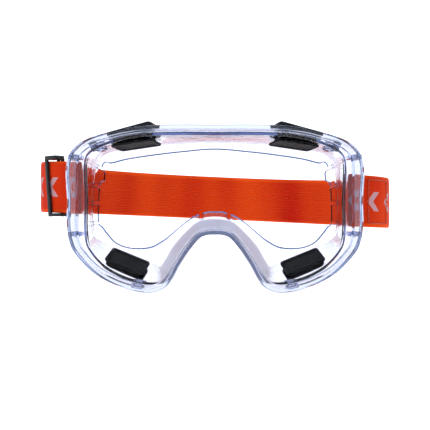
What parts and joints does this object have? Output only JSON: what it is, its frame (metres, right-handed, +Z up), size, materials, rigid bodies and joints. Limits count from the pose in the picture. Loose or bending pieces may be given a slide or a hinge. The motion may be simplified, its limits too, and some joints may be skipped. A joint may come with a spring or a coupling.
{
  "type": "safety goggles",
  "caption": "Clear soft-framed safety goggles with a wrapped lens, covered vents over brow and cheeks, and an adjustable elastic head strap.",
  "frame": {"origin": "middle of the flat back face of the forehead seal, where the frame rests on the wearer", "axes": "+Y back towards the wearer's head, +Z up, +X to the right as someone facing the goggles sees them"},
  "size_m": [0.2124, 0.1497, 0.0923],
  "materials": {
    "clear_soft_plastic": "clear soft moulded plastic, glossy, faintly blue in its thick edges",
    "clear_lens": "clear polished polycarbonate",
    "clear_pin": "clear moulded plastic",
    "black_plastic": "satin black moulded plastic with a fine texture",
    "orange_webbing": "woven elastic webbing with fine lengthwise ribs",
    "orange_thread": "sewing thread"
  },
  "bodies": {
    "frame": {"frame_body": "clear_soft_plastic", "lens": "clear_lens", "strap_pin_left": "clear_pin", "strap_pin_right": "clear_pin", "strap_loop_left": "orange_webbing", "strap_loop_right": "orange_webbing", "vent_cover_top_right": "black_plastic", "vent_grille_top_right": "black_plastic", "vent_cover_top_left": "black_plastic", "vent_grille_top_left": "black_plastic", "vent_cover_cheek_right": "black_plastic", "vent_grille_cheek_right": "black_plastic", "vent_cover_cheek_left": "black_plastic", "vent_grille_cheek_left": "black_plastic"},
    "strap": {"strap_band": "orange_webbing", "strap_tail": "orange_webbing", "strap_sewn_end": "orange_webbing", "strap_stitching": "orange_thread"},
    "slider": {"strap_slider": "black_plastic"}
  },
  "joints": [
    {"name": "strap_swing", "type": "hinge", "parent": "frame", "child": "strap", "pos_m": [0, 0.00296, -0.02778], "axis": [1, 0, 0], "range_deg": [-30, 30]},
    {"name": "slider_travel", "type": "hinge", "parent": "strap", "child": "slider", "pos_m": [-0.07349, 0.03545, -0.02778], "axis": [0, 0, -1], "range_deg": [0, 48]}
  ]
}
